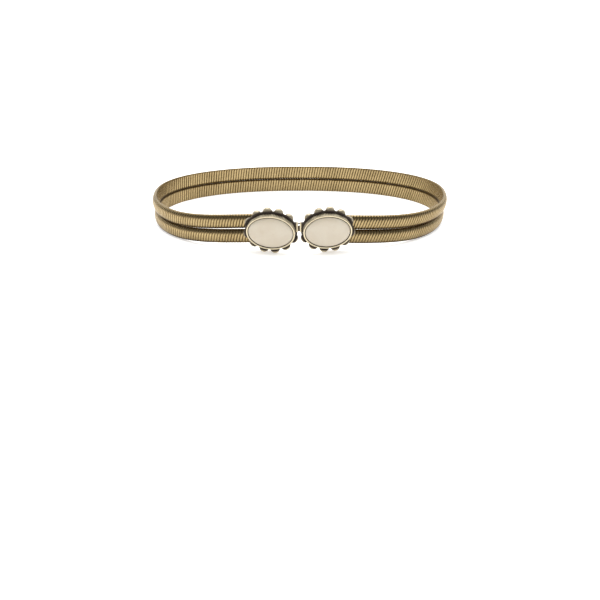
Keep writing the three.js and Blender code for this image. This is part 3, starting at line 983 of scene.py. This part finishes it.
def polished_stone(side, shape, material):
    """Oval cabochon: straight girdle in the cup, then a low even dome."""
    sides, rings = 160, 22
    dome_power, dome_root = 3.4, 0.7
    girdle = RIM["width"] - RIM["undercut"] + CLEARANCE
    shoulder = girdle + 0.5 * MM
    lip_under = BEZEL["height"] - RIM["lip"]
    angles = even_angles(BEZEL["half_width"], BEZEL["half_height"], sides)
    rows = [
        oval(BEZEL, girdle, CLEARANCE, angles),
        oval(BEZEL, girdle, lip_under - CLEARANCE, angles),
    ]
    width = BEZEL["half_width"] - shoulder
    tall = BEZEL["half_height"] - shoulder
    for r in range(rings):
        share = math.cos(math.pi / 2 * r / rings)
        up = lip_under + shape.stone_dome * (1 - share ** dome_power) ** dome_root
        rows.append([(width * share * math.cos(a), -up, tall * share * math.sin(a)) for a in angles])
    points, faces = skin(rows)
    count = len(points)
    points += [(0, -CLEARANCE, 0), (0, -lip_under - shape.stone_dome, 0)]
    last = (len(rows) - 1) * sides
    for k in range(sides):
        after = (k + 1) % sides
        faces.append([k, after, count])
        faces.append([last + k, last + after, count + 1])
    matrix = medallion_matrix(side)
    placed = [matrix @ Vector(p) for p in points]
    piece = new_piece(f"stone_{side}_cabochon", placed, faces, material, math.radians(50))
    # Painted shadow on the girdle rows and the dome's foot
    seated = 3 * sides
    paint(piece.data, "seat_shadow", [1.0] * seated + [0.0] * (len(points) - seated))
    return piece


class BELT_OT_wind_coils(bpy.types.Operator):
    """Wind the two coil strands"""

    bl_idname = "belt.wind_coils"
    bl_label = "Wind coil strands"

    def execute(self, context):
        strand = context.scene.belt_strand
        material = plated_coil_gold(context.scene.belt_finish)
        strands = {"upper": (1, (0, 0)), "lower": (-1, (strand.inset_left, strand.inset_right))}
        for which, (side, insets) in strands.items():
            piece = wind_strand(f"coil_{which}_wound", strand, side, insets, material)
            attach(piece, "root")
            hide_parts(f"coil_{which}")
        return {"FINISHED"}


class BELT_OT_cast_settings(bpy.types.Operator):
    """Cast the two medallion settings"""

    bl_idname = "belt.cast_settings"
    bl_label = "Cast settings"

    def execute(self, context):
        material = cast_champagne_gold(context.scene.belt_finish)
        for side in MEDALLIONS:
            piece = cast_setting(side, context.scene.belt_medallion, material)
            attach(piece, "root")
            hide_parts(f"setting_{side}")
        return {"FINISHED"}


class BELT_OT_set_stones(bpy.types.Operator):
    """Set the two cream cabochons"""

    bl_idname = "belt.set_stones"
    bl_label = "Set cabochons"

    def execute(self, context):
        material = cream_resin(context.scene.belt_finish)
        for side in MEDALLIONS:
            piece = polished_stone(side, context.scene.belt_medallion, material)
            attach(piece, "root")
            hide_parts(f"stone_{side}")
        return {"FINISHED"}


class BELT_OT_dress_clasp(bpy.types.Operator):
    """Finish the hook and the two end caps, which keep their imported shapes"""

    bl_idname = "belt.dress_clasp"
    bl_label = "Dress hook and end caps"

    def execute(self, context):
        finish = context.scene.belt_finish
        caps = brushed_sheet_brass(finish)
        finishes = {
            "clasp_hook": blackened_sheet_brass(finish),
            "end_cap_left": caps,
            "end_cap_right": caps,
        }
        for name, material in finishes.items():
            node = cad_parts[name]
            node.data.materials.clear()
            node.data.materials.append(material)
        return {"FINISHED"}


class BELT_OT_set_stage(bpy.types.Operator):
    """Lay the floor, light the studio and place the camera"""

    bl_idname = "belt.set_stage"
    bl_label = "Set stage"

    def execute(self, context):
        studio = context.scene.belt_studio
        lay_floor(studio)
        light_studio(context.scene, studio)
        place_camera(context.scene, studio)
        return {"FINISHED"}


def opal_light_table(glow):
    """Matt opal acrylic lit from below, which takes the depth out of shadows, with a faint
    grain of 0.4 mm."""
    material, tree, output, place = new_material("opal_light_table")
    grain = add_node(tree, "ShaderNodeTexNoise", {
        "Vector": place, "Scale": per_metre(0.4 * MM), "Detail": 2.0,
    })
    bump = add_node(tree, "ShaderNodeBump", {
        "Height": grain.outputs["Fac"], "Strength": 0.05, "Distance": 0.05 * MM,
    })
    shader = add_node(tree, "ShaderNodeBsdfPrincipled", {
        "Base Color": colour(linear("#F4F3F1")), "Roughness": 0.9,
        "Specular IOR Level": 0.1, "Normal": bump.outputs[0],
        "Emission Color": (1, 1, 1, 1), "Emission Strength": glow,
    })
    tree.links.new(shader.outputs[0], output.inputs["Surface"])
    return material


def lay_floor(studio):
    """A wide floor at the level that the belt stands on."""
    half = studio.floor_size / 2
    corners = [(-half, -half, 0), (half, -half, 0), (half, half, 0), (-half, half, 0)]
    mesh = bpy.data.meshes.new("studio_floor")
    mesh.from_pydata(corners, [], [[0, 1, 2, 3]])
    mesh.materials.append(opal_light_table(studio.table_glow))
    floor = bpy.data.objects.new("studio_floor", mesh)
    bpy.context.scene.collection.objects.link(floor)


def add_softbox(name, place, target, width, height, power):
    """A soft rectangular studio light that faces its target."""
    lamp = bpy.data.lights.new(name, "AREA")
    lamp.shape = "RECTANGLE"
    lamp.size = width
    lamp.size_y = height
    lamp.energy = power
    holder = bpy.data.objects.new(name, lamp)
    holder.location = place
    holder.rotation_euler = (Vector(target) - Vector(place)).to_track_quat("-Z", "Y").to_euler()
    bpy.context.scene.collection.objects.link(holder)


def light_studio(scene, studio):
    """White walls near the horizon under a dim ceiling, with a soft light from above."""
    world = bpy.data.worlds.new("studio_walls")
    scene.world = world
    world.use_nodes = True
    tree = world.node_tree
    tree.nodes.clear()
    direction = add_node(tree, "ShaderNodeTexCoord").outputs["Generated"]
    parts = add_node(tree, "ShaderNodeSeparateXYZ", {0: direction}).outputs
    # A low white surround, and a taller backdrop behind the belt
    surround = add_node(tree, "ShaderNodeMapRange", {
        "Value": parts["Z"], "From Min": 0.0, "From Max": 0.24,
        "To Min": studio.horizon, "To Max": studio.ceiling,
    }, interpolation_type="SMOOTHSTEP")
    backdrop = add_node(tree, "ShaderNodeMapRange", {
        "Value": parts["Y"], "From Min": 0.25, "From Max": 0.55,
        "To Min": studio.ceiling, "To Max": studio.horizon,
    }, interpolation_type="SMOOTHSTEP")
    brighter = add_node(tree, "ShaderNodeMath", {
        0: surround.outputs[0], 1: backdrop.outputs[0],
    }, operation="MAXIMUM")
    background = add_node(tree, "ShaderNodeBackground", {
        "Color": (1, 1, 1, 1), "Strength": brighter.outputs[0],
    })
    output = add_node(tree, "ShaderNodeOutputWorld")
    tree.links.new(background.outputs[0], output.inputs["Surface"])

    overhead = bpy.data.lights.new("overhead_light", "SUN")
    overhead.energy = studio.floor_light
    overhead.angle = math.radians(100)
    holder = bpy.data.objects.new("overhead_light", overhead)
    holder.visible_glossy = False
    scene.collection.objects.link(holder)
    add_softbox("top_softbox", (0, 0.5, 1.5), AIM, width=1.6, height=1.3, power=15)
    scene.view_settings.view_transform = "Standard"


def place_camera(scene, studio):
    """The photograph's view: the loop's middle falls on its pixel without any shift."""
    lens = bpy.data.cameras.new("camera")
    lens.sensor_width = SENSOR
    lens.lens = FOCAL_PIXELS / PICTURE_PIXELS * SENSOR
    camera = bpy.data.objects.new("camera", lens)
    scene.collection.objects.link(camera)
    back = Vector((0, -math.cos(studio.elevation), math.sin(studio.elevation)))
    sideways = (PICTURE_PIXELS / 2 - AIM_PIXEL[0]) / FOCAL_PIXELS * studio.distance
    camera.location = AIM + back * studio.distance + Vector((sideways, 0, 0))
    drop = math.atan((PICTURE_PIXELS / 2 - AIM_PIXEL[1]) / FOCAL_PIXELS)
    camera.rotation_euler = (math.pi / 2 - studio.elevation - drop, 0, 0)
    scene.camera = camera


OPERATORS = (
    BELT_OT_wind_coils,
    BELT_OT_cast_settings,
    BELT_OT_set_stones,
    BELT_OT_dress_clasp,
    BELT_OT_set_stage,
)

GROUPS = {
    "belt_strand": StrandShape,
    "belt_medallion": MedallionShape,
    "belt_finish": BeltFinish,
    "belt_studio": StudioSetup,
}


class BELT_PT_workbench(bpy.types.Panel):
    """Settings and steps of the belt"""

    bl_idname = "BELT_PT_workbench"
    bl_label = "Stretch coil belt"
    bl_space_type = "VIEW_3D"
    bl_region_type = "UI"
    bl_category = "Belt"

    def draw(self, context):
        for attribute, group in GROUPS.items():
            box = self.layout.box()
            for name in group.__annotations__:
                box.prop(getattr(context.scene, attribute), name)
        for operator in OPERATORS:
            self.layout.operator(operator.bl_idname)


def register():
    """Registers the add-on's classes and its scene settings."""
    for group in GROUPS.values():
        bpy.utils.register_class(group)
    for operator in OPERATORS:
        bpy.utils.register_class(operator)
    bpy.utils.register_class(BELT_PT_workbench)
    for attribute, group in GROUPS.items():
        setattr(bpy.types.Scene, attribute, PointerProperty(type=group))


def unregister():
    """Takes the scene settings and the classes away again."""
    for attribute in GROUPS:
        delattr(bpy.types.Scene, attribute)
    bpy.utils.unregister_class(BELT_PT_workbench)
    for operator in reversed(OPERATORS):
        bpy.utils.unregister_class(operator)
    for group in reversed(GROUPS.values()):
        bpy.utils.unregister_class(group)


def main():
    """Builds the whole dressed belt."""
    register()
    bpy.ops.belt.wind_coils()
    bpy.ops.belt.cast_settings()
    bpy.ops.belt.set_stones()
    bpy.ops.belt.dress_clasp()
    bpy.ops.belt.set_stage()
    bpy.context.view_layer.update()


if __name__ == "__main__":
    main()
